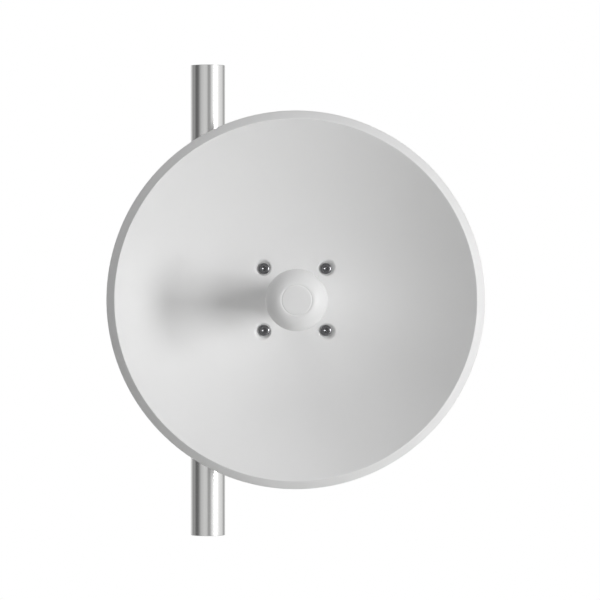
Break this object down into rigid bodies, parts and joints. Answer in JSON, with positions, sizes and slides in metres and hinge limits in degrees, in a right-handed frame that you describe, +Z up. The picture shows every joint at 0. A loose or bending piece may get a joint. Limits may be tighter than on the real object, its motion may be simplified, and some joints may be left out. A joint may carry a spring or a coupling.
{
  "type": "wireless bridge dish antenna",
  "caption": "White parabolic dish with a capped centre feed, its radio and a tilting bracket clamped to one side of a short steel pole",
  "frame": {"origin": "on the wall of the pole's lower cut end, at its point nearest the dish", "axes": "+Z up along the pole, -Y the way the dish looks at rest, +X to the right seen from in front; the dish stands to +X of the pole"},
  "size_m": [0.47, 0.3111, 0.606],
  "materials": {
    "white_powder_coat": "satin",
    "white_plastic": "satin",
    "grey_plastic": "matte",
    "stainless_steel": "satin",
    "zinc_plated_steel": "satin",
    "cast_aluminium": "matte",
    "smoked_window": "gloss"
  },
  "bodies": {
    "mast": {"pole": "stainless_steel"},
    "clamp": {"clamp_bracket": "cast_aluminium", "rear_jaw": "cast_aluminium", "clamp_bolt_upper_left": "stainless_steel", "clamp_bolt_upper_right": "stainless_steel", "clamp_bolt_lower_left": "stainless_steel", "clamp_bolt_lower_right": "stainless_steel", "clamp_nut_upper_left": "stainless_steel", "clamp_nut_upper_right": "stainless_steel", "clamp_nut_lower_left": "stainless_steel", "clamp_nut_lower_right": "stainless_steel", "pivot_bolt": "stainless_steel", "pivot_nut": "stainless_steel", "lock_bolt": "stainless_steel", "lock_nut": "stainless_steel"},
    "dish": {"tilt_fork": "zinc_plated_steel", "upper_fork_bolt": "stainless_steel", "lower_fork_bolt": "stainless_steel", "upper_fork_nut": "stainless_steel", "lower_fork_nut": "stainless_steel", "mounting_plate": "zinc_plated_steel", "reflector": "white_powder_coat", "screw_upper_left": "stainless_steel", "screw_upper_right": "stainless_steel", "screw_lower_left": "stainless_steel", "screw_lower_right": "stainless_steel", "nut_upper_left": "stainless_steel", "nut_upper_right": "stainless_steel", "nut_lower_left": "stainless_steel", "nut_lower_right": "stainless_steel", "feed_collar": "white_plastic", "feed_neck": "white_plastic", "feed_cap": "white_plastic", "radio_housing": "white_plastic", "radio_cover": "white_plastic", "port_door": "white_plastic", "cable_gland": "grey_plastic", "status_window": "smoked_window", "ground_screw": "stainless_steel"}
  },
  "joints": [
    {"name": "azimuth", "type": "hinge", "parent": "mast", "child": "clamp", "pos_m": [0, 0.02125, 0.3045], "axis": [0, 0, 1], "continuous": true},
    {"name": "tilt", "type": "hinge", "parent": "clamp", "child": "dish", "pos_m": [0, -0.04875, 0.3045], "axis": [-1, 0, 0], "range_deg": [-20, 20]}
  ]
}
